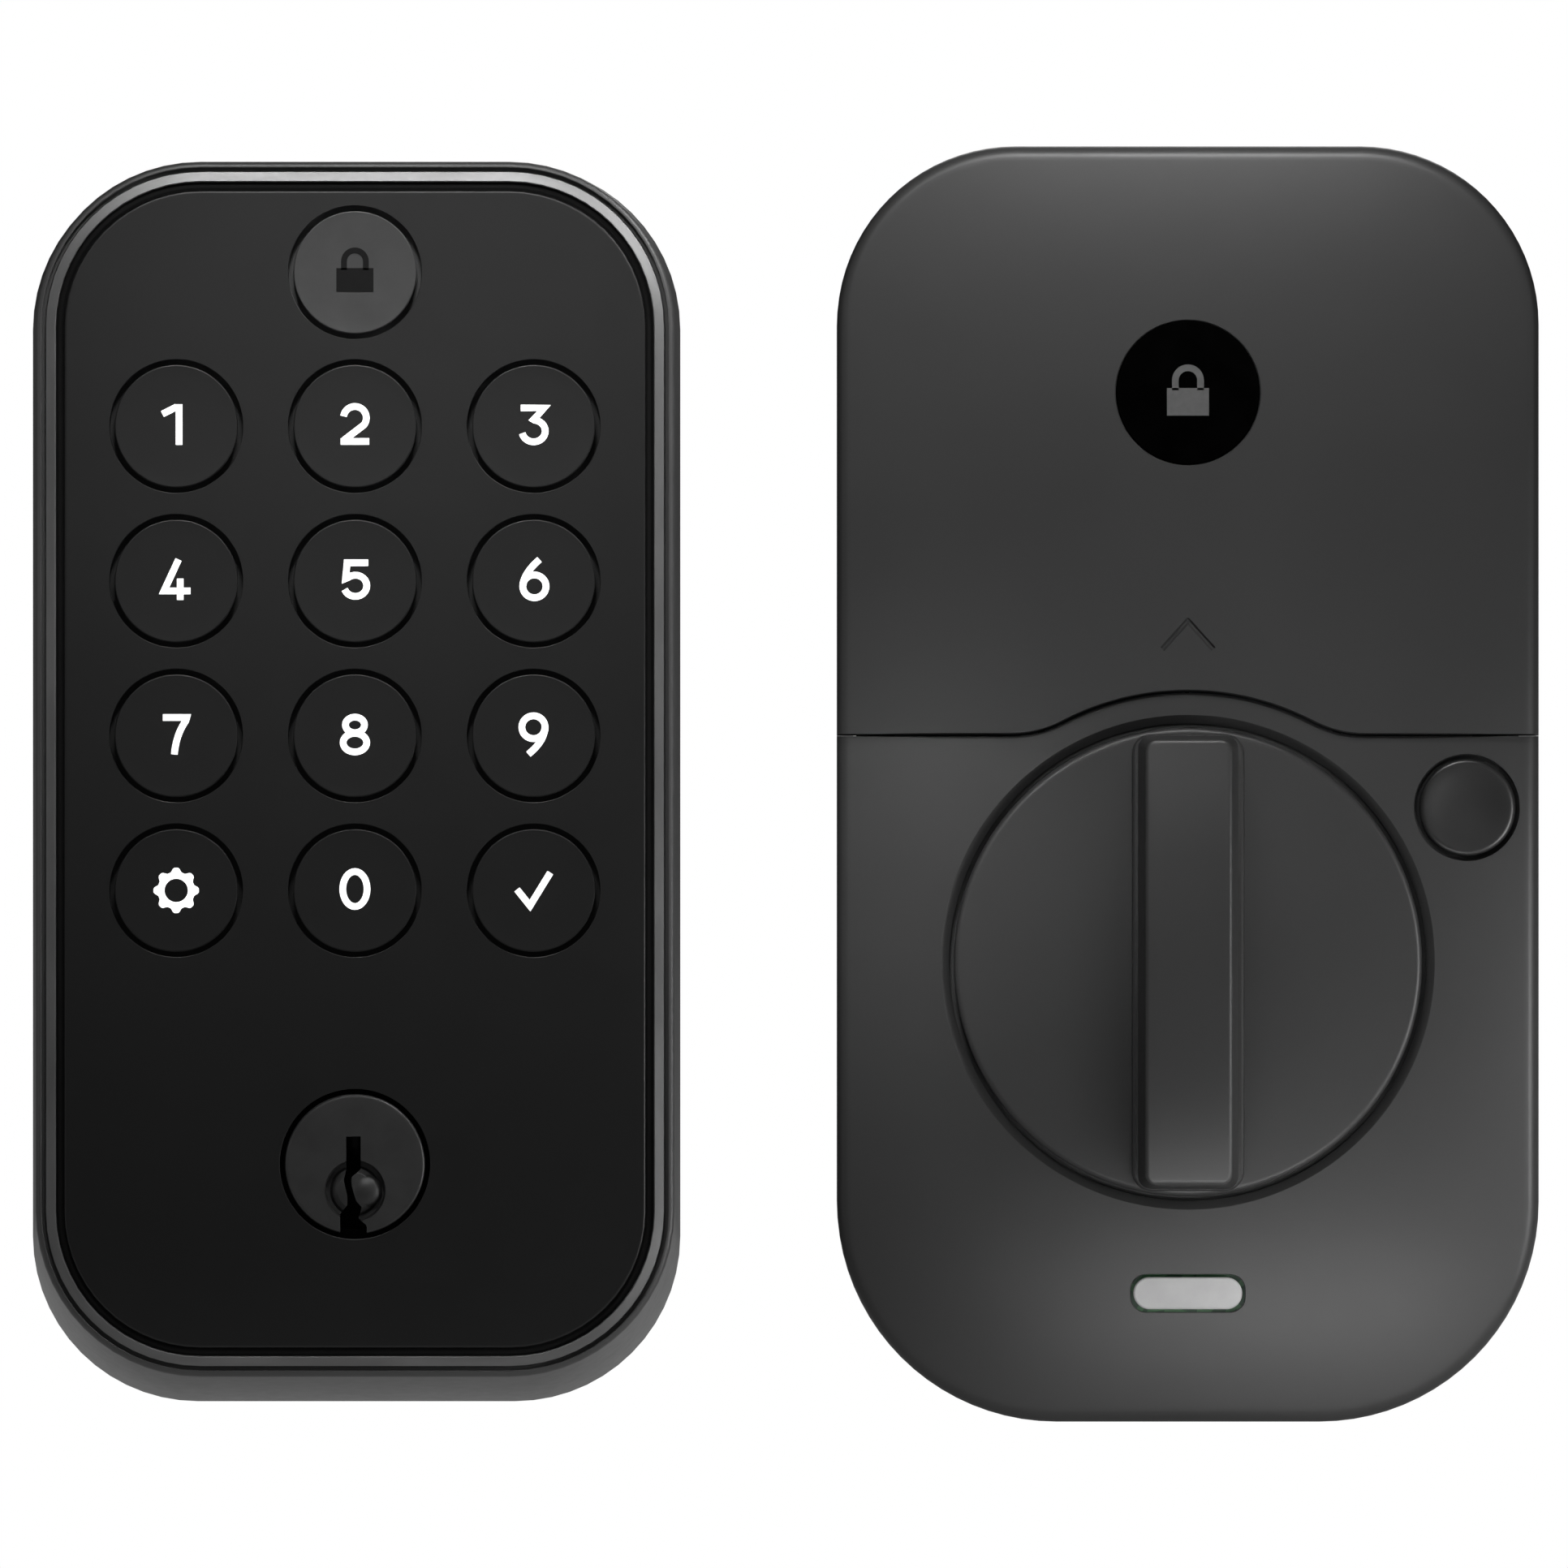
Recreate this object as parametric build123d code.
from build123d import *
import math
import os

# Keypad door lock in two units, in millimetres. +X is right, +Z is up and both fronts face -Y.
# Both backs lie on y = 0, the door face, and the origin is there, on the exterior unit's door-bore axis.
# The interior unit stands beside the exterior one, as the two lie on a bench before fitting.

# ---- exterior unit ----
EXT_BACK_W = 63.5
EXT_BACK_H = 121.3
EXT_BACK_R = 16.2
EXT_BACK_Z = 30.05
EXT_FRONT_W = 62.4
EXT_FRONT_H = 118.7
EXT_FRONT_R = 16.1
EXT_FRONT_Z = 31.4
EXT_DEPTH = 21.0
EXT_WALL = 2.0
FRAME_INSET = 0.9
SEAL_INSET = 2.0
FASCIA_INSET = 2.8
FASCIA_T = 2.0
GASKET_T = 1.0

KEY_PITCH_X = 17.46
KEY_PITCH_Z = 15.12
TOP_ROW_Z = 64.9
KEY_NAMES = [
    ["key_1", "key_2", "key_3"],
    ["key_4", "key_5", "key_6"],
    ["key_7", "key_8", "key_9"],
    ["key_settings", "key_0", "key_confirm"],
]
LOCK_BUTTON_Z = 79.93
KEY_R = 6.0
KEY_HOLE_R = 6.52
KEY_FLANGE_R = 7.1
KEY_STEM_R = 2.0
KEY_PROUD = 0.3
KEY_TRAVEL = 0.8

# ---- key cylinder and tailpiece ----
PLUG_Z = -7.2
PLUG_R = 6.35
PLUG_FACE_R = 6.85
CYLINDER_R = 8.5
CYLINDER_BACK = 2.5
BIBLE_W = 8.0
BIBLE_TOP = 15.0
PIN_R = 1.45
PIN_HOLE_R = 1.5
PIN_FIRST_Y = -15.0
PIN_PITCH = 3.8
PIN_COUNT = 5
KEY_PIN_FOOT = [1.6, 0.9, 2.1, 1.2, 0.6]
KEY_PIN_TOP = 6.1
DRIVER_LENGTH = 3.1
LINK_MODULE = 0.6
LINK_TEETH = 12
LINK_GEAR_FRONT = 4.5
LINK_GEAR_BACK = 8.5
BLADE_W = 6.3
BLADE_T = 1.6
BLADE_END = 65.0
HUB_R = 3.5
GEAR_COVER_Z = -3.6
GEAR_COVER_R = 14.0
GEAR_COVER_WALL = 1.5
GEAR_COVER_BACK = 12.0

# ---- door interface ----
COLLAR_R = 26.5
COLLAR_WALL = 2.0
COLLAR_BACK = 5.0
BOLT_SPREAD = 19.0
POST_R = 4.5
POST_BACK = 18.0
M4_TAP_R = 1.65
M4_R = 2.0
BOLT_PLAY_R = 3.2
BOLT_HEAD_R = 4.2
BOLT_BACK = 35.0
GROMMET_Z = 19.9
GROMMET_R = 3.5
CABLE_R = 2.2

# ---- interior unit ----
INT_X = 81.34
INT_Z = 29.94
INT_W = 68.5
INT_H = 124.5
INT_TOP_R = 17.4
INT_BOTTOM_R = 21.4
INT_DEPTH = 27.0
INT_WALL = 1.8
COVER_WALL = 1.6
SEAM_Z = 34.62
SEAM_GAP = 0.2
HUMP_R = 26.3
HUMP_FILLET = 11.0
DIAL_Z = 12.54
DIAL_R = 22.85
DIAL_HOLE_R = 23.3
DIAL_RIM_R = 24.2
DIAL_FRONT = -27.8
DIAL_FLANGE_R = 24.0
GRIP_FRONT = -39.0
GRIP_W = 8.6
GRIP_H = 43.4
GRIP_FOOT_W = 10.9
GRIP_FOOT_H = 44.6
BUTTON_X = 27.27
BUTTON_Z = 27.65
BUTTON_R = 4.7
BUTTON_HOLE_R = 5.07
LIGHT_Z = -19.77
LIGHT_W = 10.6
LIGHT_H = 3.1
LIGHT_GAP = 0.3
BADGE_Z = 68.12
BADGE_R = 7.0
ARROW_Z = 44.2

CELL_R = 7.0
CELL_PITCH = 14.4
CELL_FOOT = 33.2
CELL_CAN_H = 48.2
CELL_NUB_H = 1.3
CELL_NUB_R = 2.75
CELL_Y = -16.9

# ---- motor gear train, 40 turns of the motor to one of the hub ----
GEAR_MODULE = 0.5
OUTPUT_TEETH = 56
SECOND_WHEEL_TEETH = 40
SECOND_PINION_TEETH = 14
FIRST_WHEEL_TEETH = 36
FIRST_PINION_TEETH = 12
MOTOR_TEETH = 12
SECOND_ANGLE = 225.0
FIRST_ANGLE = 330.0
MOTOR_ANGLE = 350.0
LAYER_A = (-11.5, -8.0)
LAYER_B = (-15.5, -12.5)
LAYER_C = (-19.5, -16.5)
AXLE_R = 1.0
DRIVE_HUB_R = 6.0
MOTOR_R = 8.0
MOTOR_FLAT_H = 12.4

PRESSURE_ANGLE = math.radians(20)
TOOTH_ADDENDUM = 0.75
TOOTH_DEDENDUM = 1.0
FLANK_BACKLASH = 0.04
FIT_GAP = 0.05

os.makedirs("parts", exist_ok=True)


# ---- shapes used by both units ----
def slab(profile, y_front, y_back):
    """Solid with an (x, z) profile between two depths."""
    return extrude(Plane.XZ.offset(-y_back) * profile, amount=y_back - y_front)


def rod(x, z, radius, y_front, y_back):
    """Round bar along Y."""
    return slab(Pos(x, z) * Circle(radius), y_front, y_back)


def tube(x, z, outer, inner, y_front, y_back):
    """Round ring along Y."""
    return slab(Pos(x, z) * (Circle(outer) - Circle(inner)), y_front, y_back)


def bar(x, z, width, height, y_front, y_back):
    """Rectangular block centred on (x, z)."""
    return slab(Pos(x, z) * Rectangle(width, height), y_front, y_back)


def group(solids):
    """Separate solids that share one node."""
    return Compound(children=list(solids))


def polar(x, z, radius, degrees):
    """Point at a distance and an angle from (x, z)."""
    angle = math.radians(degrees)
    return (x + radius * math.cos(angle), z + radius * math.sin(angle))


def pitch_radius(module, teeth):
    return module * teeth / 2


def flank_angle(module, teeth, radius):
    """Half the tooth's angle at a radius, from the involute of its base circle."""
    pitch = pitch_radius(module, teeth)
    base = pitch * math.cos(PRESSURE_ANGLE)
    pressure = math.acos(min(1.0, base / radius))
    involute = math.tan(pressure) - pressure
    at_pitch = math.tan(PRESSURE_ANGLE) - PRESSURE_ANGLE
    return math.pi / (2 * teeth) - FLANK_BACKLASH / pitch + at_pitch - involute


def gear_outline(module, teeth, phase):
    """Spur gear, with its first tooth at phase degrees. Each flank is an arc through three points."""
    pitch = pitch_radius(module, teeth)
    base = pitch * math.cos(PRESSURE_ANGLE)
    tip = pitch + TOOTH_ADDENDUM * module
    root = pitch - TOOTH_DEDENDUM * module
    start = max(root, base)
    middle = (start + tip) / 2
    edges = []
    for tooth in range(teeth):
        centre = math.radians(phase) + 2 * math.pi * tooth / teeth
        radii = [start, middle, tip]
        rising = [spoke(r, centre - flank_angle(module, teeth, r)) for r in radii]
        falling = [spoke(r, centre + flank_angle(module, teeth, r)) for r in reversed(radii)]
        root_half = flank_angle(module, teeth, start)
        foot_in = spoke(root, centre - root_half)
        foot_out = spoke(root, centre + root_half)
        next_foot = spoke(root, centre + 2 * math.pi / teeth - root_half)
        if root < base:
            edges.append(Line(foot_in, rising[0]))
        edges.append(ThreePointArc(*rising))
        edges.append(ThreePointArc(rising[2], spoke(tip, centre), falling[0]))
        edges.append(ThreePointArc(*falling))
        if root < base:
            edges.append(Line(falling[2], foot_out))
        edges.append(ThreePointArc(foot_out, spoke(root, centre + math.pi / teeth), next_foot))
    return make_face(edges)


def spoke(radius, angle):
    return (radius * math.cos(angle), radius * math.sin(angle))


def gear(x, z, module, teeth, phase, layer):
    """Toothed wheel about (x, z), filling a layer of depths."""
    return slab(Pos(x, z) * gear_outline(module, teeth, phase), layer[0], layer[1])


def meshing_phase(teeth, phase, direction, other_teeth):
    """Phase of a gear that meshes with a first gear, from which it lies in the given direction."""
    place = (direction - phase) * teeth / 360
    return direction + 180 - (0.5 - place) * 360 / other_teeth


# ---- exterior casing ----
def exterior_back_outline(inset):
    blank = RectangleRounded(EXT_BACK_W - 2 * inset, EXT_BACK_H - 2 * inset, EXT_BACK_R - inset)
    return Pos(0, EXT_BACK_Z) * blank


def exterior_front_outline(inset):
    blank = RectangleRounded(EXT_FRONT_W - 2 * inset, EXT_FRONT_H - 2 * inset, EXT_FRONT_R - inset)
    return Pos(0, EXT_FRONT_Z) * blank


def drafted_block(back_profile, y_back, front_profile, y_front):
    """Casing body whose walls lean in from the back profile to the front one."""
    return loft([Plane.XZ.offset(-y_back) * back_profile, Plane.XZ.offset(-y_front) * front_profile])


FASCIA_FRONT = -EXT_DEPTH
FASCIA_BACK = FASCIA_FRONT + FASCIA_T
FRONT_WALL_BACK = FASCIA_BACK + EXT_WALL
EXT_REAR = -GASKET_T
SCREW_BOSSES = [(-26.3, 70.0), (26.3, 70.0), (-26.3, -8.0), (26.3, -8.0)]
BOSS_R = 3.0
SCREW_SHANK_R = 1.15
SCREW_HEAD_R = 2.2
EXT_SCREW_TIP = -9.0
BACK_PLATE_T = 1.5
BACK_PLATE_FRONT = EXT_REAR - BACK_PLATE_T
LIP_STEP = 0.35
LIP_DEPTH = 0.8
KEYPAD_MIDDLE_Z = TOP_ROW_Z - 1.5 * KEY_PITCH_Z
LOBE_NECK = 10.0


def key_centres():
    """Centre of every key by name, row by row from the top."""
    places = {"lock_button": (0.0, LOCK_BUTTON_Z)}
    for row, names in enumerate(KEY_NAMES):
        for column, name in enumerate(names):
            places[name] = ((column - 1) * KEY_PITCH_X, TOP_ROW_Z - row * KEY_PITCH_Z)
    return places


def key_field(half_width, margin):
    """Outline that takes in all the keys, with a round lobe up to the lock button."""
    field = Pos(0, KEYPAD_MIDDLE_Z) * Rectangle(2 * half_width, 3 * KEY_PITCH_Z + 2 * margin)
    neck = Pos(0, LOCK_BUTTON_Z - LOBE_NECK / 2) * Rectangle(2 * margin, LOBE_NECK)
    return field + neck + Pos(0, LOCK_BUTTON_Z) * Circle(margin)


def exterior_housing():
    body = drafted_block(exterior_back_outline(0), EXT_REAR, exterior_front_outline(0), -EXT_DEPTH)
    hollow_back = exterior_back_outline(EXT_WALL)
    hollow_front = exterior_front_outline(EXT_WALL)
    body -= drafted_block(hollow_back, EXT_REAR, hollow_front, FRONT_WALL_BACK)
    body -= slab(exterior_front_outline(FRAME_INSET), -EXT_DEPTH - 1, FASCIA_BACK)
    body -= slab(exterior_front_outline(LIP_STEP), -EXT_DEPTH - 1, -EXT_DEPTH + LIP_DEPTH)
    body -= slab(key_field(25.0, 7.5), FASCIA_BACK - 1, FRONT_WALL_BACK + 1)
    body -= rod(0, PLUG_Z, CYLINDER_R + FIT_GAP, FASCIA_BACK - 1, FRONT_WALL_BACK + 1)
    for x, z in SCREW_BOSSES:
        body += rod(x, z, BOSS_R, FRONT_WALL_BACK, BACK_PLATE_FRONT)
    for x, z in SCREW_BOSSES:
        body -= rod(x, z, SCREW_SHANK_R, EXT_SCREW_TIP, BACK_PLATE_FRONT + 1)
    return body


BEVEL_H = 0.35
BEVEL_TOP_INSET = 1.75
SEAL_FRONT = FASCIA_FRONT + 0.7


def bevel_frame():
    """Bright metal frame round the fascia, with its front bevelled towards the glass."""
    rim = exterior_front_outline(FRAME_INSET + FIT_GAP)
    base = slab(rim, FASCIA_FRONT + BEVEL_H, FASCIA_BACK)
    bevel = loft([
        Plane.XZ.offset(EXT_DEPTH - BEVEL_H) * rim,
        Plane.XZ.offset(EXT_DEPTH) * exterior_front_outline(BEVEL_TOP_INSET),
    ])
    return base + bevel - slab(exterior_front_outline(SEAL_INSET), FASCIA_FRONT - 1, FASCIA_BACK)


def fascia_seal():
    ring = exterior_front_outline(SEAL_INSET) - exterior_front_outline(FASCIA_INSET)
    return slab(ring, SEAL_FRONT, FASCIA_BACK)


def keypad_fascia():
    face = exterior_front_outline(FASCIA_INSET)
    for x, z in key_centres().values():
        face -= Pos(x, z) * Circle(KEY_HOLE_R)
    face -= Pos(0, PLUG_Z) * Circle(PLUG_FACE_R + 0.25)
    return slab(face, FASCIA_FRONT, FASCIA_BACK)


# ---- keypad ----
FLANGE_FRONT = FASCIA_BACK + 0.1
FLANGE_BACK = FLANGE_FRONT + 0.7
STEM_BACK = -15.9
GUIDE_FRONT = FRONT_WALL_BACK
GUIDE_BACK = GUIDE_FRONT + 0.8
SHEET_FRONT = -14.2
SHEET_BACK = -13.6
BOARD_BACK = -12.0
DOME_FRONT = STEM_BACK + KEY_TRAVEL + 0.1
DOME_R = 3.2
PEG_R = 0.9
PEG_END = BOARD_BACK + 0.6
STACK_MARGIN = 8.0
KEY_LIGHT_OFFSET = 5.3


def key_cap(x, z):
    """Round push key: cap, retaining flange behind the fascia, and stem through the guide."""
    cap = rod(x, z, KEY_R, FASCIA_FRONT - KEY_PROUD, FLANGE_FRONT)
    flange = rod(x, z, KEY_FLANGE_R, FLANGE_FRONT, FLANGE_BACK)
    stem = rod(x, z, KEY_STEM_R, FLANGE_BACK, STEM_BACK)
    return cap + flange + stem


def peg_places():
    """Points between the keys where the layers are staked together."""
    upper = TOP_ROW_Z - KEY_PITCH_Z / 2
    lower = upper - 2 * KEY_PITCH_Z
    return [(side * KEY_PITCH_X / 2, z) for side in (-1, 1) for z in (lower, upper)]


def light_places():
    return [(x, z + KEY_LIGHT_OFFSET) for x, z in key_centres().values()]


def key_guide():
    plate = key_field(25.4, STACK_MARGIN)
    for x, z in key_centres().values():
        plate -= Pos(x, z) * Circle(KEY_STEM_R + 0.1)
    for x, z in SCREW_BOSSES:
        plate -= Pos(x, z) * Circle(BOSS_R + 0.3)
    guide = slab(plate, GUIDE_FRONT, GUIDE_BACK)
    for x, z in peg_places():
        guide += rod(x, z, PEG_R, GUIDE_BACK, PEG_END)
    return guide


def keypad_membrane():
    """Silicone sheet with a dome behind each key."""
    sheet = key_field(22.9, STACK_MARGIN)
    for x, z in peg_places():
        sheet -= Pos(x, z) * Circle(PEG_R + 0.1)
    for x, z in light_places():
        sheet -= Pos(x, z) * Rectangle(2.2, 1.4)
    membrane = slab(sheet, SHEET_FRONT, SHEET_BACK)
    for x, z in key_centres().values():
        membrane += rod(x, z, DOME_R, DOME_FRONT, SHEET_FRONT)
    return membrane


def keypad_circuit_board():
    """Board, its row of key lights, the controller and the plug for the door cable."""
    board = key_field(22.0, STACK_MARGIN)
    for x, z in peg_places():
        board -= Pos(x, z) * Circle(PEG_R + 0.1)
    pieces = [slab(board, SHEET_BACK, BOARD_BACK)]
    for x, z in light_places():
        pieces.append(bar(x, z, 1.6, 0.8, SHEET_FRONT - 0.2, SHEET_BACK))
    pieces.append(bar(-9.0, 42.0, 9.0, 9.0, BOARD_BACK, BOARD_BACK + 1.2))
    pieces.append(bar(10.0, 20.0, 9.0, 5.0, BOARD_BACK, BOARD_BACK + 4.5))
    return group(pieces)


# ---- key cylinder ----
PLUG_HEAD_BACK = FASCIA_BACK - 0.2
CLIP_FRONT = CYLINDER_BACK + 0.1
CLIP_BACK = CLIP_FRONT + 1.0
CLIP_SEAT_R = 5.6
ENTRY_R = 2.95
ENTRY_Z = -2.6
ENTRY_DEPTH = 0.35
KEYWAY_END = 1.6
PIN_ROOF = BIBLE_TOP - 0.8
KEYWAY = [
    (-0.86, 2.7), (0.56, 2.7), (0.56, -0.5), (-0.35, -1.3), (-0.3, -2.2), (0.1, -3.6),
    (0.65, -4.2), (0.35, -5.3), (1.15, -6.0), (1.15, -8.0), (-1.45, -8.0), (-1.45, -4.9),
    (-0.75, -4.0), (-0.75, -3.1), (-1.1, -1.6), (-0.86, -0.5),
]


def pin_depths():
    return [PIN_FIRST_Y + index * PIN_PITCH for index in range(PIN_COUNT)]


def upright_pin(y, radius, low, high):
    """Round pin along Z over the plug's axis, between two heights above that axis."""
    pin = Cylinder(radius, high - low, align=(Align.CENTER, Align.CENTER, Align.MIN))
    return Pos(0, y, PLUG_Z + low) * pin


def cylinder_housing():
    barrel = rod(0, PLUG_Z, CYLINDER_R, FASCIA_BACK + 0.1, CYLINDER_BACK)
    bible_middle = PLUG_Z + (BIBLE_TOP + PLUG_R) / 2
    barrel += bar(0, bible_middle, BIBLE_W, BIBLE_TOP - PLUG_R, FRONT_WALL_BACK + 0.1, CYLINDER_BACK)
    barrel -= rod(0, PLUG_Z, PLUG_R + FIT_GAP, FASCIA_BACK - 1, CYLINDER_BACK + 1)
    for y in pin_depths():
        barrel -= upright_pin(y, PIN_HOLE_R, PLUG_R - 1, PIN_ROOF)
    return barrel


def cylinder_plug():
    plug = rod(0, PLUG_Z, PLUG_FACE_R, FASCIA_FRONT, PLUG_HEAD_BACK)
    plug += rod(0, PLUG_Z, PLUG_R, PLUG_HEAD_BACK, LINK_GEAR_FRONT)
    plug -= tube(0, PLUG_Z, PLUG_R + 1, CLIP_SEAT_R, CLIP_FRONT, CLIP_BACK)
    plug -= rod(0, PLUG_Z + ENTRY_Z, ENTRY_R, FASCIA_FRONT - 1, FASCIA_FRONT + ENTRY_DEPTH)
    plug -= slab(Pos(0, PLUG_Z) * make_face(Polyline(*KEYWAY, close=True)), FASCIA_FRONT - 1, KEYWAY_END)
    for y in pin_depths():
        plug -= upright_pin(y, PIN_HOLE_R, 0.0, PLUG_R + 1)
    return plug


def key_pins():
    """Lower pins, of five lengths, that ride in the plug."""
    return group(upright_pin(y, PIN_R, foot, KEY_PIN_TOP) for y, foot in zip(pin_depths(), KEY_PIN_FOOT))


def driver_pins():
    """Upper pins and their springs, which hold the plug until the key lifts them."""
    pins = []
    foot = PLUG_R + 0.1
    head = foot + DRIVER_LENGTH
    for y in pin_depths():
        pins.append(upright_pin(y, PIN_R, foot, head))
        spring = upright_pin(y, PIN_R - 0.1, head, PIN_ROOF)
        pins.append(spring - upright_pin(y, PIN_R - 0.5, head - 1, PIN_ROOF + 1))
    return group(pins)


def plug_clip():
    """Open steel ring that snaps into the plug's groove behind the housing."""
    ring = tube(0, PLUG_Z, 7.4, CLIP_SEAT_R + FIT_GAP, CLIP_FRONT, CLIP_BACK)
    return ring - bar(0, PLUG_Z - 6.5, 5.0, 4.0, CLIP_FRONT - 1, CLIP_BACK + 1)


def plug_gear():
    return gear(0, PLUG_Z, LINK_MODULE, LINK_TEETH, 90.0, (LINK_GEAR_FRONT, LINK_GEAR_BACK))


def tailpiece_gear():
    """Gear on the bore axis, with a hub that turns in the gear cover."""
    phase = meshing_phase(LINK_TEETH, 90.0, 90.0, LINK_TEETH)
    wheel = gear(0, 0, LINK_MODULE, LINK_TEETH, phase, (LINK_GEAR_FRONT, LINK_GEAR_BACK))
    return wheel + rod(0, 0, HUB_R, LINK_GEAR_BACK, GEAR_COVER_BACK + 0.2)


def tailpiece():
    """Flat steel blade that turns the bolt and the interior hub."""
    return bar(0, 0, BLADE_T, BLADE_W, GEAR_COVER_BACK + 0.2, BLADE_END)


EAR_R = 3.0
EAR_T = 1.5
EAR_SCREW_R = 1.0
EAR_SCREWS = [GEAR_COVER_Z + 16.1, GEAR_COVER_Z - 16.1]


def gear_cover():
    """Cup over the two gears, with the tailpiece's bearing in its floor and two ears for screws."""
    hollow_r = GEAR_COVER_R - GEAR_COVER_WALL
    cup = rod(0, GEAR_COVER_Z, GEAR_COVER_R, EXT_REAR, GEAR_COVER_BACK)
    for z in EAR_SCREWS:
        cup += rod(0, z, EAR_R, EXT_REAR, EXT_REAR + EAR_T)
    cup -= rod(0, GEAR_COVER_Z, hollow_r, EXT_REAR - 1, GEAR_COVER_BACK - 2)
    for z in EAR_SCREWS:
        cup -= rod(0, z, EAR_SCREW_R, EXT_REAR - 1, EXT_REAR + EAR_T + 1)
    return cup - rod(0, 0, HUB_R + FIT_GAP, GEAR_COVER_BACK - 3, GEAR_COVER_BACK + 1)


# ---- exterior back plate and fixings ----
COUNTERBORE_DEPTH = 1.0
PLATE_INSET = EXT_WALL + 0.4


def exterior_back_plate():
    """Pressed plate that closes the casing, with the collar that centres it in the door bore."""
    sheet = exterior_back_outline(PLATE_INSET)
    sheet -= Pos(0, PLUG_Z) * Circle(CYLINDER_R + 0.4)
    sheet -= Pos(0, PLUG_Z + 8) * Rectangle(BIBLE_W + 1, 16.0)
    sheet -= Pos(0, GROMMET_Z) * Circle(GROMMET_R)
    for side in (-1, 1):
        sheet -= Pos(side * BOLT_SPREAD, 0) * Circle(POST_R + FIT_GAP)
    for z in EAR_SCREWS:
        sheet -= Pos(0, z) * Circle(EAR_SCREW_R)
    for x, z in SCREW_BOSSES:
        sheet -= Pos(x, z) * Circle(SCREW_SHANK_R + FIT_GAP)
    plate = slab(sheet, BACK_PLATE_FRONT, EXT_REAR)
    for x, z in SCREW_BOSSES:
        plate -= rod(x, z, SCREW_HEAD_R + FIT_GAP, EXT_REAR - COUNTERBORE_DEPTH, EXT_REAR + 1)
    return plate + tube(0, 0, COLLAR_R, COLLAR_R - COLLAR_WALL, EXT_REAR, COLLAR_BACK)


TAP_DEPTH = 14.0
SLOT_W = 0.6
SLOT_DEPTH = 0.4


def mounting_posts():
    """Two steel posts that pass through the door bore and take the through-bolts."""
    posts = []
    for side in (-1, 1):
        post = rod(side * BOLT_SPREAD, 0, POST_R, BACK_PLATE_FRONT, POST_BACK)
        post += rod(side * BOLT_SPREAD, 0, POST_R + 1, BACK_PLATE_FRONT - 1.5, BACK_PLATE_FRONT)
        posts.append(post - rod(side * BOLT_SPREAD, 0, M4_TAP_R, POST_BACK - TAP_DEPTH, POST_BACK + 1))
    return group(posts)


def screw(x, z, head_r, shank_r, top, seat, tip):
    """Slotted screw along Y: top is its head's outer face, and seat is the face that the head bears on."""
    slot_end = top + math.copysign(SLOT_DEPTH, seat - top)
    head = rod(x, z, head_r, min(top, seat), max(top, seat))
    slot = bar(x, z, SLOT_W, 2 * head_r, min(top, slot_end), max(top, slot_end))
    return head - slot + rod(x, z, shank_r, min(seat, tip), max(seat, tip))


def exterior_screws():
    """Four back plate screws and the two of the gear cover."""
    screws = []
    seat = EXT_REAR - COUNTERBORE_DEPTH
    ear_face = EXT_REAR + EAR_T
    for x, z in SCREW_BOSSES:
        screws.append(screw(x, z, SCREW_HEAD_R, SCREW_SHANK_R, EXT_REAR, seat, EXT_SCREW_TIP))
    for z in EAR_SCREWS:
        screws.append(screw(0, z, 2.0, EAR_SCREW_R, ear_face + 1.4, ear_face, BACK_PLATE_FRONT))
    return group(screws)


GROMMET_LIP = 0.8


def cable_grommet():
    """Rubber ring that lines the cable's hole in the back plate."""
    front = BACK_PLATE_FRONT - GROMMET_LIP
    back = EXT_REAR + GROMMET_LIP
    ring = rod(0, GROMMET_Z, GROMMET_R, front, back)
    ring += rod(0, GROMMET_Z, GROMMET_R + GROMMET_LIP, front, BACK_PLATE_FRONT)
    ring += rod(0, GROMMET_Z, GROMMET_R + GROMMET_LIP, EXT_REAR, back)
    return ring - rod(0, GROMMET_Z, CABLE_R, front - 1, back + 1)


def door_gasket():
    """Foam strip between the casing's rim and the door."""
    return slab(exterior_back_outline(0.3) - exterior_back_outline(2.9), EXT_REAR, 0.0)


# ---- interior casing ----
INT_FRONT = -INT_DEPTH
INT_FACE_BACK = INT_FRONT + 2.0
HOUSING_SCREWS = [(-29.0, 18.0), (29.0, 18.0), (-24.0, -16.0), (24.0, -16.0)]
HOUSING_BOSS_R = 2.5
HOUSING_SCREW_TIP = -12.0
PLATE_SCREWS = [(-CELL_PITCH, 75.0), (CELL_PITCH, 75.0), (0.0, -24.0)]
PLATE_SCREW_R = 1.5
PLATE_BOSS_R = 3.2
GEAR_POSTS = [(18.5, 1.5), (-25.5, -3.0), (-7.0, -21.0)]
GEAR_PLATE_FRONT = -20.6
GEAR_PLATE_BACK = -19.8
SOCKET_X = 20.0
SOCKET_Z = 24.0
CHASSIS_FRONT = -6.0
CHASSIS_BACK = -4.0
AXLE_SEAT = -4.5
PLATE_T = 2.0
RIM_CHAMFER = 0.8
BADGE_SEAT = INT_FRONT + 0.9
BADGE_FRONT = INT_FRONT - 0.1


def interior_outline(inset):
    """Outline of the interior unit: two tighter corners at the top, two wider at the bottom."""
    blank = Rectangle(INT_W - 2 * inset, INT_H - 2 * inset)
    blank = fillet(blank.vertices().sort_by(Axis.Y)[2:], INT_TOP_R - inset)
    lowest = blank.vertices().sort_by(Axis.Y)[:2]
    return Pos(INT_X, INT_Z) * fillet(lowest, INT_BOTTOM_R - inset)


def below(z):
    """Everything in the interior unit below a height."""
    return Pos(INT_X, z - 50) * Rectangle(100, 100)


def above(z):
    """Everything in the interior unit above a height."""
    return Pos(INT_X, z + 50) * Rectangle(100, 100)


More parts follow.
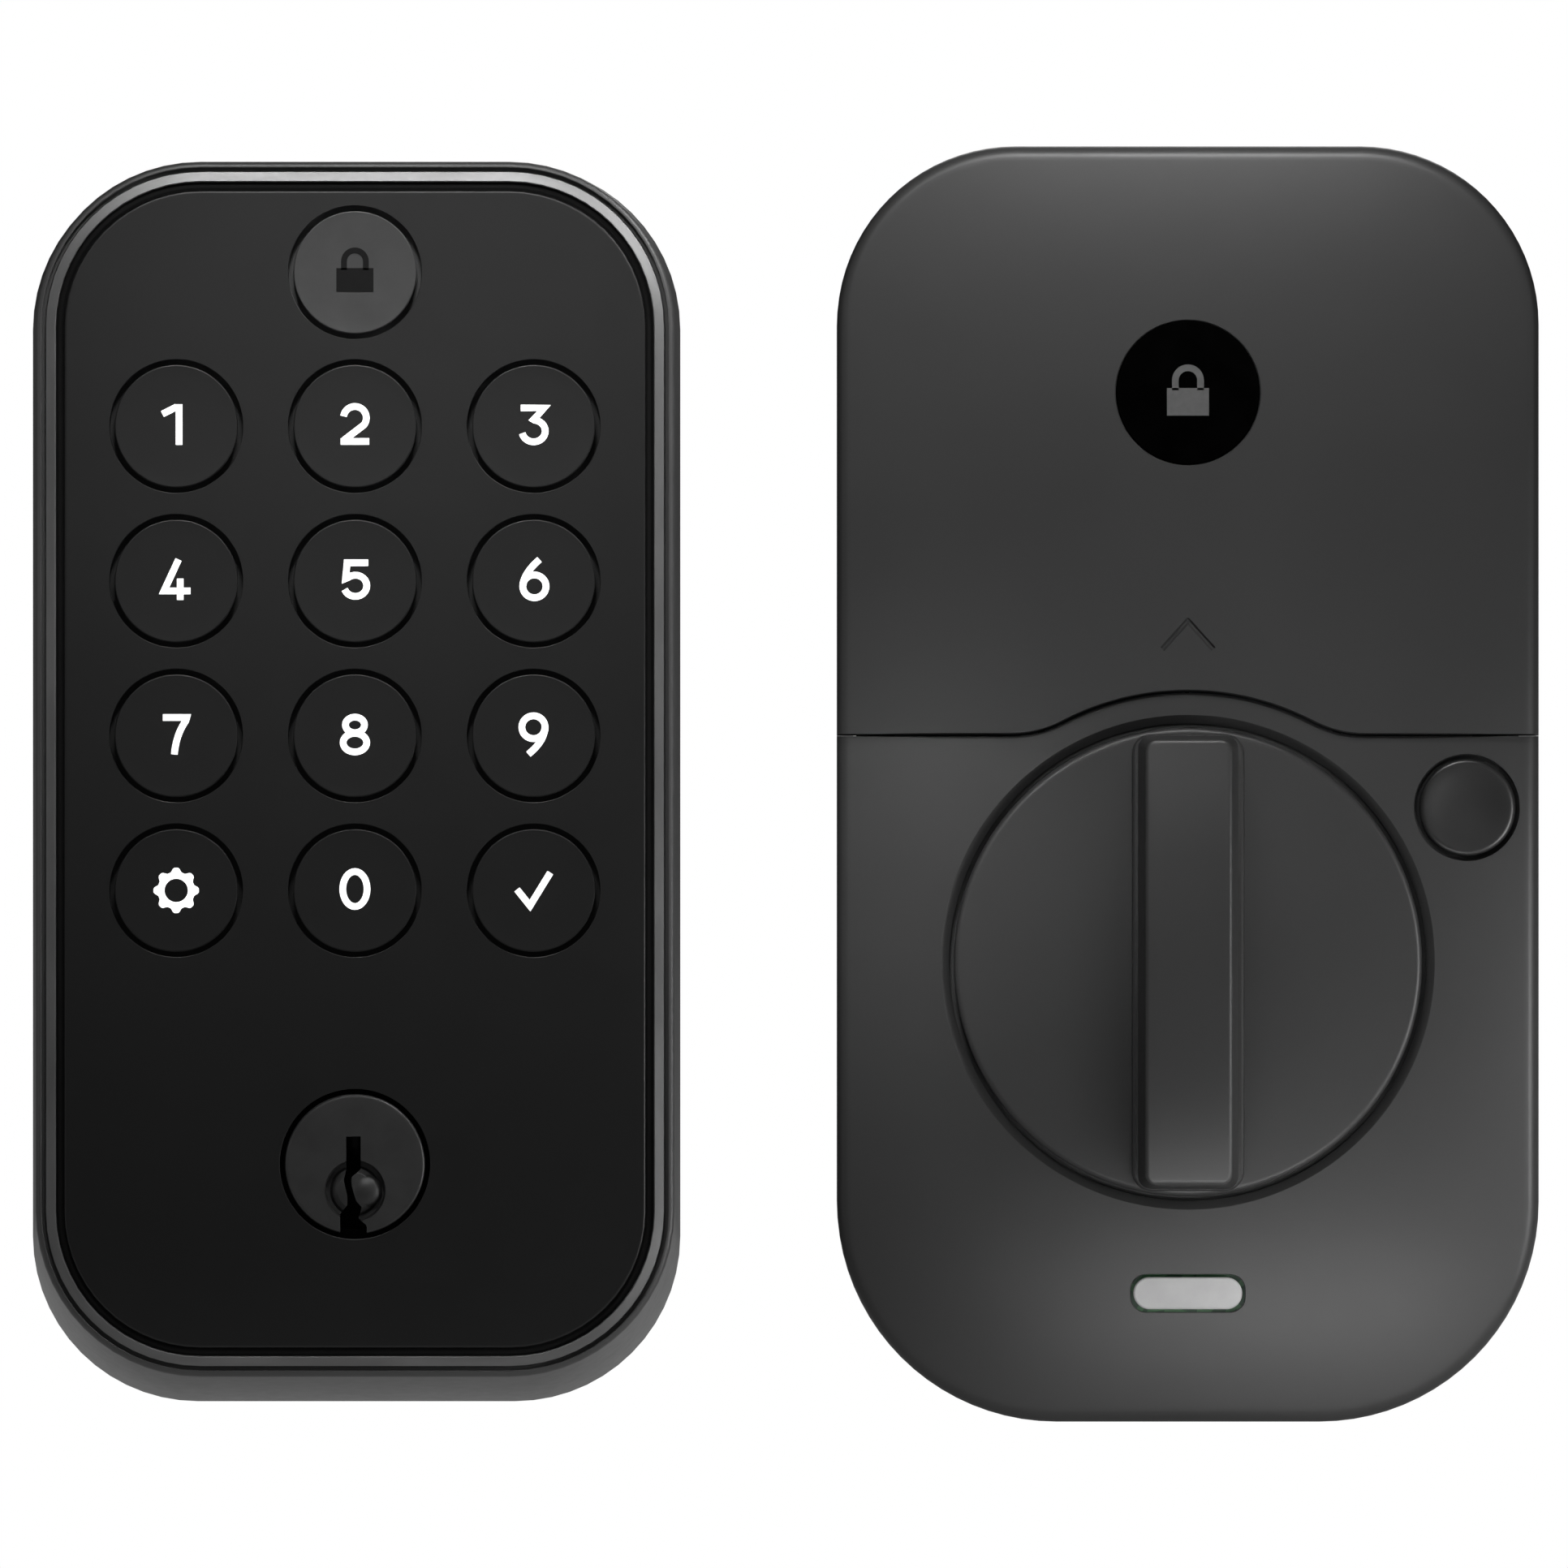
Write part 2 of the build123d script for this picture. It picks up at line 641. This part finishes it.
def lower_region(gap):
    """Everything below the battery cover's edge, with the hump that follows the dial."""
    seam = SEAM_Z + gap
    region = below(seam) + Pos(INT_X, DIAL_Z) * Circle(HUMP_R + gap)
    corners = [v for v in region.vertices() if abs(v.Y - seam) < 0.1 and abs(v.X - INT_X) < HUMP_R]
    return fillet(corners, HUMP_FILLET - gap)


def inside_x(offset):
    return INT_X + offset


def dial_hole():
    """Hole for the dial, with a chamfer that opens towards the room."""
    cone = Cone(DIAL_HOLE_R, DIAL_RIM_R, RIM_CHAMFER, align=(Align.CENTER, Align.CENTER, Align.MIN))
    chamfer = Plane.XZ.offset(INT_DEPTH - RIM_CHAMFER) * Pos(INT_X, DIAL_Z) * cone
    return rod(INT_X, DIAL_Z, DIAL_HOLE_R, INT_FRONT - 1, INT_FACE_BACK + 1) + chamfer


def interior_housing():
    body = slab(interior_outline(0) & lower_region(0), INT_FRONT, 0.0)
    body -= slab(interior_outline(INT_WALL), INT_FACE_BACK, 1.0)
    body -= dial_hole()
    body -= rod(inside_x(BUTTON_X), BUTTON_Z, BUTTON_HOLE_R, INT_FRONT - 1, INT_FACE_BACK + 1)
    light_hole = Pos(INT_X, LIGHT_Z) * SlotOverall(LIGHT_W + 2 * LIGHT_GAP, LIGHT_H + 2 * LIGHT_GAP)
    body -= slab(light_hole, INT_FRONT - 1, INT_FACE_BACK + 1)
    for x, z in HOUSING_SCREWS:
        boss = rod(inside_x(x), z, HOUSING_BOSS_R, INT_FACE_BACK, CHASSIS_FRONT)
        body += boss - rod(inside_x(x), z, SCREW_SHANK_R, HOUSING_SCREW_TIP, CHASSIS_FRONT + 1)
    return body


def arrow_groove():
    """Shallow arrow in the cover's face that shows the way it slides."""
    length = 4.6
    width = 0.7
    lean = (length - width) / 2 * math.cos(math.radians(45))
    left = Pos(INT_X - lean, ARROW_Z) * Rot(0, 0, 45) * SlotOverall(length, width)
    right = Pos(INT_X + lean, ARROW_Z) * Rot(0, 0, -45) * SlotOverall(length, width)
    return slab(left + right, INT_FRONT - 1, INT_FRONT + 0.25)


def battery_cover():
    shell = slab(interior_outline(0) - lower_region(SEAM_GAP), INT_FRONT, EXT_REAR)
    shell -= slab(interior_outline(COVER_WALL), INT_FRONT + COVER_WALL, 1.0)
    shell -= rod(INT_X, BADGE_Z, BADGE_R + FIT_GAP, INT_FRONT - 1, BADGE_SEAT)
    return shell - arrow_groove()


def cover_badge():
    return rod(INT_X, BADGE_Z, BADGE_R, BADGE_FRONT, BADGE_SEAT)


def interior_chassis():
    """Inner frame that carries the gears, the motor, the board and the battery tray."""
    sheet = interior_outline(2.4) - Pos(INT_X, DIAL_Z) * Circle(DRIVE_HUB_R + FIT_GAP)
    sheet -= Pos(inside_x(SOCKET_X), SOCKET_Z) * Rectangle(11.0, 8.0)
    for x, z in HOUSING_SCREWS:
        sheet -= Pos(inside_x(x), z) * Circle(SCREW_SHANK_R)
    frame = slab(sheet, CHASSIS_FRONT, CHASSIS_BACK)
    for x, z in PLATE_SCREWS:
        frame += rod(inside_x(x), z, PLATE_BOSS_R, CHASSIS_BACK, -PLATE_T)
        frame -= rod(inside_x(x), z, PLATE_SCREW_R, CHASSIS_FRONT - 1, -PLATE_T + 1)
    for x, z in GEAR_POSTS:
        frame += rod(inside_x(x), z, 2.0, GEAR_PLATE_BACK, CHASSIS_FRONT)
    for x, z in (SECOND, FIRST):
        frame -= rod(x, z, AXLE_R, CHASSIS_FRONT - 1, AXLE_SEAT)
    return frame


# ---- batteries ----
TRAY_FRONT = -22.0
TRAY_FLOOR_FRONT = -9.7
TRAY_FLOOR_T = 1.3
TRAY_INSET = 1.9
TRAY_WALL = 1.0
TRAY_LOW = 31.2
TRAY_RIB_Z = 83.5
TRAY_RIB_T = 1.2
CONTACT_T = 0.5


def cell_xs():
    return [inside_x((index - 1.5) * CELL_PITCH) for index in range(4)]


def battery_tray():
    """Walled tray with a raised floor, an end rib for the contacts and low ribs between the cells."""
    outline = interior_outline(TRAY_INSET) & above(TRAY_LOW)
    inner = interior_outline(TRAY_INSET + TRAY_WALL) & above(TRAY_LOW + TRAY_WALL)
    floor_back = TRAY_FLOOR_FRONT + TRAY_FLOOR_T
    tray = slab(outline, TRAY_FRONT, CHASSIS_FRONT)
    tray -= slab(inner, TRAY_FRONT - 1, TRAY_FLOOR_FRONT)
    tray -= slab(inner, floor_back, CHASSIS_FRONT + 1)
    end_rib = (inner & above(TRAY_RIB_Z)) - above(TRAY_RIB_Z + TRAY_RIB_T)
    tray += slab(end_rib, TRAY_FRONT, TRAY_FLOOR_FRONT)
    for x in (-CELL_PITCH, 0.0, CELL_PITCH):
        tray += bar(inside_x(x), 52.0, 1.6, 30.0, TRAY_FLOOR_FRONT - 1.6, TRAY_FLOOR_FRONT)
    for x, z in PLATE_SCREWS[:2]:
        tray += rod(inside_x(x), z, PLATE_BOSS_R, floor_back, CHASSIS_FRONT)
        tray -= rod(inside_x(x), z, PLATE_SCREW_R, TRAY_FLOOR_FRONT - 1, CHASSIS_FRONT + 1)
    return tray


def batteries():
    """Four cells side by side, every other one upside down."""
    cells = []
    upright = (Align.CENTER, Align.CENTER, Align.MIN)
    for index, x in enumerate(cell_xs()):
        nub_down = index % 2 == 1
        can_foot = CELL_FOOT + CELL_NUB_H if nub_down else CELL_FOOT
        nub_foot = CELL_FOOT if nub_down else CELL_FOOT + CELL_CAN_H
        can = Pos(x, CELL_Y, can_foot) * Cylinder(CELL_R, CELL_CAN_H, align=upright)
        cells.append(can + Pos(x, CELL_Y, nub_foot) * Cylinder(CELL_NUB_R, CELL_NUB_H, align=upright))
    return group(cells)


def contact(x, wall_z, cell_z):
    """Plate on one of the tray's end walls, with a round nose that reaches the cell's end."""
    face_z = wall_z + math.copysign(CONTACT_T, cell_z - wall_z)
    plate = Pos(x, CELL_Y, (wall_z + face_z) / 2) * Box(10.0, 8.0, CONTACT_T)
    return plate + Pos(x, CELL_Y, (face_z + cell_z) / 2) * Cylinder(2.5, abs(cell_z - face_z))


def battery_contacts():
    """Sprung plates at both ends of each cell, drawn at their pressed height."""
    contacts = []
    for x in cell_xs():
        contacts.append(contact(x, TRAY_LOW + TRAY_WALL, CELL_FOOT))
        contacts.append(contact(x, TRAY_RIB_Z, CELL_FOOT + CELL_CAN_H + CELL_NUB_H))
    return group(contacts)


# ---- board, light and button ----
MAIN_BOARD_FRONT = -22.5
MAIN_BOARD_BACK = -20.9
SWITCH_SIZE = 5.0
SWITCH_H = 0.5
# x, z, width, height and thickness of each chip: processor, radio, motor driver and power supply
MAIN_CHIPS = [(-17.0, 22.0, 8.0, 8.0, 1.0), (-18.0, 4.0, 6.0, 6.0, 0.9),
              (16.0, -12.0, 7.0, 5.0, 1.1), (15.0, 26.0, 9.0, 4.0, 0.9)]


def main_circuit_board():
    """Board behind the casing's face, with its chips, three status lights and the button's switch."""
    field = Pos(INT_X, 0.7) * Rectangle(52.0, 59.4) & interior_outline(3.0)
    field += Pos(inside_x(BUTTON_X - 2), BUTTON_Z - 0.6) * Rectangle(11.0, 6.6)
    field -= Pos(INT_X, DIAL_Z) * Circle(10.0)
    for x, z in HOUSING_SCREWS:
        field -= Pos(inside_x(x), z) * Circle(HOUSING_BOSS_R + 0.7)
    pieces = [slab(field, MAIN_BOARD_FRONT, MAIN_BOARD_BACK)]
    for x, z, width, height, thick in MAIN_CHIPS:
        pieces.append(bar(inside_x(x), z, width, height, MAIN_BOARD_FRONT - thick, MAIN_BOARD_FRONT))
    for x in (-3.0, 0.0, 3.0):
        pieces.append(bar(inside_x(x), LIGHT_Z, 1.6, 0.8, MAIN_BOARD_FRONT - 0.4, MAIN_BOARD_FRONT))
    switch_front = MAIN_BOARD_FRONT - SWITCH_H
    pieces.append(bar(inside_x(BUTTON_X), BUTTON_Z, SWITCH_SIZE, SWITCH_SIZE, switch_front, MAIN_BOARD_FRONT))
    return group(pieces)


def status_light_pipe():
    return slab(Pos(INT_X, LIGHT_Z) * SlotOverall(LIGHT_W, LIGHT_H), INT_FRONT - 0.05, MAIN_BOARD_FRONT - 0.5)


def privacy_button():
    """Round button with a tongue above and below that holds it behind the casing's face."""
    x = inside_x(BUTTON_X)
    cap = rod(x, BUTTON_Z, BUTTON_R, INT_FRONT - 0.3, INT_FACE_BACK + 0.2)
    cap += bar(x, BUTTON_Z, 8.0, 12.4, INT_FACE_BACK + 0.2, INT_FACE_BACK + 0.8)
    return cap + rod(x, BUTTON_Z, 1.5, INT_FACE_BACK + 0.8, INT_FACE_BACK + 1.1)


def cable_socket():
    """Open socket on the board's back for the cable from the exterior unit."""
    x = inside_x(SOCKET_X)
    shell = bar(x, SOCKET_Z, 9.0, 6.4, MAIN_BOARD_BACK, -14.0)
    return shell - bar(x, SOCKET_Z, 7.0, 3.4, -19.0, -13.0)


# ---- thumbturn ----
FLANGE_Y = INT_FACE_BACK + 0.2
DIAL_BACK = INT_FACE_BACK + 0.9
HUB_SLOT_FRONT = -16.0
HUB_END = -2.2


def thumbturn_dial():
    """Disc in the casing's round hole, held by a wider flange behind the casing's face."""
    disc = rod(INT_X, DIAL_Z, DIAL_R, DIAL_FRONT, FLANGE_Y)
    return disc + rod(INT_X, DIAL_Z, DIAL_FLANGE_R, FLANGE_Y, DIAL_BACK)


def thumbturn_grip():
    """Upright bar across the dial: a stepped foot and a ridge that narrows to the front."""
    foot_front = DIAL_FRONT - 2.2
    foot = slab(Pos(INT_X, DIAL_Z) * RectangleRounded(GRIP_FOOT_W, GRIP_FOOT_H, 3.0), foot_front, DIAL_FRONT)
    ridge = loft([
        Plane.XZ.offset(-foot_front) * Pos(INT_X, DIAL_Z) * RectangleRounded(9.8, 44.2, 2.4),
        Plane.XZ.offset(-GRIP_FRONT) * Pos(INT_X, DIAL_Z) * RectangleRounded(GRIP_W, GRIP_H, 1.8),
    ])
    return foot + ridge


def drive_hub():
    """Shaft behind the dial, slotted for the tailpiece."""
    shaft = rod(INT_X, DIAL_Z, DRIVE_HUB_R, DIAL_BACK, HUB_END)
    return shaft - bar(INT_X, DIAL_Z, BLADE_T + 0.6, BLADE_W + 0.7, HUB_SLOT_FRONT, HUB_END)


def hub_clip():
    return tube(INT_X, DIAL_Z, DRIVE_HUB_R + 1.4, DRIVE_HUB_R, CHASSIS_BACK + 0.2, CHASSIS_BACK + 1.0)


# ---- gear train ----
def centre_distance(first_teeth, second_teeth):
    return GEAR_MODULE * (first_teeth + second_teeth) / 2


SECOND = polar(INT_X, DIAL_Z, centre_distance(OUTPUT_TEETH, SECOND_PINION_TEETH), SECOND_ANGLE)
FIRST = polar(SECOND[0], SECOND[1], centre_distance(SECOND_WHEEL_TEETH, FIRST_PINION_TEETH), FIRST_ANGLE)
MOTOR = polar(FIRST[0], FIRST[1], centre_distance(FIRST_WHEEL_TEETH, MOTOR_TEETH), MOTOR_ANGLE)
AXLE_BORE_R = AXLE_R + FIT_GAP
SLEEVE_R = 1.8
MOTOR_FRONT = -15.9
SHAFT_END = -10.5


def output_gear():
    wheel = gear(INT_X, DIAL_Z, GEAR_MODULE, OUTPUT_TEETH, 0.0, LAYER_A)
    return wheel - rod(INT_X, DIAL_Z, DRIVE_HUB_R, LAYER_A[0] - 1, LAYER_A[1] + 1)


def idler_gear_2():
    """Wheel and pinion in one piece, next to the output gear."""
    x, z = SECOND
    pinion_phase = meshing_phase(OUTPUT_TEETH, 0.0, SECOND_ANGLE, SECOND_PINION_TEETH)
    idler = gear(x, z, GEAR_MODULE, SECOND_PINION_TEETH, pinion_phase, LAYER_A)
    idler += gear(x, z, GEAR_MODULE, SECOND_WHEEL_TEETH, 0.0, LAYER_B)
    idler += rod(x, z, 2.5, LAYER_B[1], LAYER_A[0])
    idler += rod(x, z, SLEEVE_R, GEAR_PLATE_BACK + 0.1, LAYER_B[0])
    idler += rod(x, z, SLEEVE_R, LAYER_A[1], CHASSIS_FRONT - 0.1)
    return idler - rod(x, z, AXLE_BORE_R, GEAR_PLATE_BACK, CHASSIS_FRONT)


def idler_gear_1():
    """Wheel and pinion in one piece, next to the motor."""
    x, z = FIRST
    pinion_phase = meshing_phase(SECOND_WHEEL_TEETH, 0.0, FIRST_ANGLE, FIRST_PINION_TEETH)
    idler = gear(x, z, GEAR_MODULE, FIRST_PINION_TEETH, pinion_phase, LAYER_B)
    idler += gear(x, z, GEAR_MODULE, FIRST_WHEEL_TEETH, 0.0, LAYER_C)
    idler += rod(x, z, 2.5, LAYER_C[1], LAYER_B[0])
    idler += rod(x, z, SLEEVE_R, LAYER_B[1], CHASSIS_FRONT - 0.1)
    idler += rod(x, z, SLEEVE_R, GEAR_PLATE_BACK + 0.1, LAYER_C[0])
    return idler - rod(x, z, AXLE_BORE_R, GEAR_PLATE_BACK, CHASSIS_FRONT)


def motor_pinion():
    x, z = MOTOR
    phase = meshing_phase(FIRST_WHEEL_TEETH, 0.0, MOTOR_ANGLE, MOTOR_TEETH)
    pinion = gear(x, z, GEAR_MODULE, MOTOR_TEETH, phase, LAYER_C)
    return pinion + rod(x, z, AXLE_R, LAYER_C[1], SHAFT_END)


def drive_motor():
    """Round motor can with a flat on each side and a hole for the pinion's shaft."""
    x, z = MOTOR
    flats = bar(x, z, 2 * MOTOR_R, MOTOR_FLAT_H, MOTOR_FRONT - 1, CHASSIS_FRONT + 1)
    can = rod(x, z, MOTOR_R, MOTOR_FRONT, CHASSIS_FRONT) & flats
    can += rod(x, z, 2.6, MOTOR_FRONT - 0.4, MOTOR_FRONT)
    return can - rod(x, z, AXLE_BORE_R, MOTOR_FRONT - 1, SHAFT_END + 0.5)


def gear_axles():
    return group(rod(x, z, AXLE_R, GEAR_PLATE_FRONT, AXLE_SEAT) for x, z in (SECOND, FIRST))


def gearbox_plate():
    """Front bearing plate of the gear train, on three posts of the chassis."""
    spots = [(inside_x(x), z) for x, z in GEAR_POSTS] + [SECOND, FIRST, MOTOR]
    discs = [(Pos(x, z) * Circle(3.4)).edges() for x, z in spots]
    outline = make_hull([edge for disc in discs for edge in disc])
    outline -= Pos(INT_X, DIAL_Z) * Circle(DRIVE_HUB_R + 1.0)
    for x, z in (SECOND, FIRST):
        outline -= Pos(x, z) * Circle(AXLE_R)
    return slab(outline, GEAR_PLATE_FRONT, GEAR_PLATE_BACK)


# ---- interior fixings ----
def mounting_plate():
    """Steel plate that the through-bolts clamp to the inside of the door."""
    sheet = interior_outline(5.0) - Pos(INT_X, DIAL_Z) * Circle(9.0)
    sheet -= Pos(inside_x(SOCKET_X), SOCKET_Z) * Rectangle(13.0, 10.0)
    for side in (-1, 1):
        sheet -= Pos(inside_x(side * BOLT_SPREAD), DIAL_Z) * Circle(BOLT_PLAY_R)
    for x, z in PLATE_SCREWS:
        sheet -= Pos(inside_x(x), z) * Circle(PLATE_SCREW_R)
    return slab(sheet, -PLATE_T, 0.0)


def through_bolts():
    """Two M4 bolts that clamp the two units together through the door."""
    bolt_top = CHASSIS_BACK + 0.1
    return group(
        screw(inside_x(side * BOLT_SPREAD), DIAL_Z, BOLT_HEAD_R, M4_R, bolt_top, -PLATE_T, BOLT_BACK)
        for side in (-1, 1)
    )


def interior_screws():
    """Three screws into the mounting plate and four that hold the casing to the chassis."""
    screws = []
    for (x, z), seat in zip(PLATE_SCREWS, (TRAY_FLOOR_FRONT, TRAY_FLOOR_FRONT, CHASSIS_FRONT)):
        screws.append(screw(inside_x(x), z, 2.8, PLATE_SCREW_R, seat - 1.5, seat, -0.2))
    top = CHASSIS_BACK + 1.2
    for x, z in HOUSING_SCREWS:
        screws.append(
            screw(inside_x(x), z, SCREW_HEAD_R, SCREW_SHANK_R, top, CHASSIS_BACK, HOUSING_SCREW_TIP)
        )
    return group(screws)


SUB_PARTS = [
    exterior_housing, bevel_frame, fascia_seal, keypad_fascia, key_guide, keypad_membrane,
    keypad_circuit_board, cylinder_housing, cylinder_plug, key_pins, driver_pins, plug_clip, plug_gear,
    tailpiece_gear, tailpiece, gear_cover, exterior_back_plate, mounting_posts, exterior_screws,
    cable_grommet, door_gasket, interior_housing, battery_cover, cover_badge, interior_chassis,
    battery_tray, batteries, battery_contacts, main_circuit_board, status_light_pipe, privacy_button,
    cable_socket, thumbturn_dial, thumbturn_grip, drive_hub, hub_clip, output_gear, idler_gear_2,
    idler_gear_1, motor_pinion, drive_motor, gear_axles, gearbox_plate, mounting_plate, through_bolts,
    interior_screws,
]

for sub_part in SUB_PARTS:
    export_step(sub_part(), f"parts/{sub_part.__name__}.step")

for key_name, (key_x, key_z) in key_centres().items():
    export_step(key_cap(key_x, key_z), f"parts/{key_name}.step")
